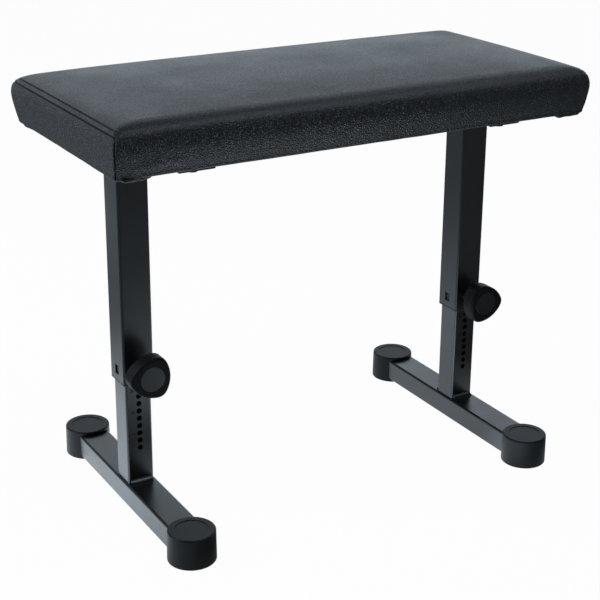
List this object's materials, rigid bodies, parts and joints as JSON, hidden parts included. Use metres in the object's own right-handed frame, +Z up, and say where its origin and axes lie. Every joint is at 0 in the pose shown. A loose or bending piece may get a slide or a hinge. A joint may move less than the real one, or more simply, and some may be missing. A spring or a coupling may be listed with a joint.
{
  "type": "keyboard bench",
  "caption": "Padded bench on two T-shaped legs whose telescopic square posts slide and lock by index pins with three-lobed knobs.",
  "frame": {"origin": "on the floor, below the middle of the seat", "axes": "+X along the seat, +Y to the back, +Z up; the knobs face -Y"},
  "size_m": [0.66, 0.376, 0.538],
  "materials": {
    "leatherette": "black pebble-grained leatherette, satin",
    "foam": "pale upholstery foam",
    "plywood": "raw birch plywood",
    "painted_tube": "black powder coat, satin",
    "black_steel": "blackened steel",
    "zinc_steel": "zinc-plated steel",
    "spring_steel": "spring steel",
    "bush_plastic": "black nylon",
    "black_plastic": "black polyethylene",
    "knob_plastic": "black moulded plastic, fine texture",
    "cap_plastic": "black plastic, smoother than the knob",
    "foot_rubber": "black rubber"
  },
  "bodies": {
    "left_leg": {"left_lower_post": "painted_tube", "left_post_glide": "bush_plastic", "left_base_tube": "painted_tube", "left_post_weld": "painted_tube", "left_front_foot": "foot_rubber", "left_back_foot": "foot_rubber"},
    "left_pin": {"left_index_pin": "zinc_steel", "left_pin_spring": "spring_steel", "left_knob_washer": "zinc_steel", "left_knob_nut": "zinc_steel"},
    "left_knob": {"left_knob": "knob_plastic", "left_knob_cap": "cap_plastic"},
    "right_leg": {"right_lower_post": "painted_tube", "right_post_glide": "bush_plastic", "right_base_tube": "painted_tube", "right_post_weld": "painted_tube", "right_front_foot": "foot_rubber", "right_back_foot": "foot_rubber"},
    "right_pin": {"right_index_pin": "zinc_steel", "right_pin_spring": "spring_steel", "right_knob_washer": "zinc_steel", "right_knob_nut": "zinc_steel"},
    "right_knob": {"right_knob": "knob_plastic", "right_knob_cap": "cap_plastic"},
    "seat": {"seat_cover": "leatherette", "seat_foam": "foam", "seat_board": "plywood", "tee_nuts": "zinc_steel", "seat_washers": "black_steel", "seat_bolts": "black_steel", "rail_end_plugs": "black_plastic", "left_seat_rail": "painted_tube", "left_upper_post": "painted_tube", "left_guide_bush": "bush_plastic", "left_pin_barrel": "painted_tube", "right_seat_rail": "painted_tube", "right_upper_post": "painted_tube", "right_guide_bush": "bush_plastic", "right_pin_barrel": "painted_tube"}
  },
  "joints": [
    {"name": "left_height", "type": "slide", "parent": "left_leg", "child": "seat", "axis": [0, 0, 1], "range_m": [-0.11, 0.03]},
    {"name": "right_height", "type": "slide", "parent": "seat", "child": "right_leg", "axis": [0, 0, -1], "range_m": [-0.11, 0.03]},
    {"name": "left_pin_lock", "type": "slide", "parent": "seat", "child": "left_pin", "axis": [0, 1, 0], "range_m": [0, 0.008], "deforming": ["left_pin_spring"]},
    {"name": "left_knob_turn", "type": "hinge", "parent": "left_pin", "child": "left_knob", "pos_m": [-0.249, -0.0612, 0.1916], "axis": [0, -1, 0], "range_deg": [0, 90]},
    {"name": "right_pin_lock", "type": "slide", "parent": "seat", "child": "right_pin", "axis": [0, 1, 0], "range_m": [0, 0.008], "deforming": ["right_pin_spring"]},
    {"name": "right_knob_turn", "type": "hinge", "parent": "right_pin", "child": "right_knob", "pos_m": [0.249, -0.0612, 0.1916], "axis": [0, -1, 0], "range_deg": [0, 90]}
  ],
  "couplings": [
    {"joint": "right_height", "follows": "left_height", "ratio": 1}
  ]
}
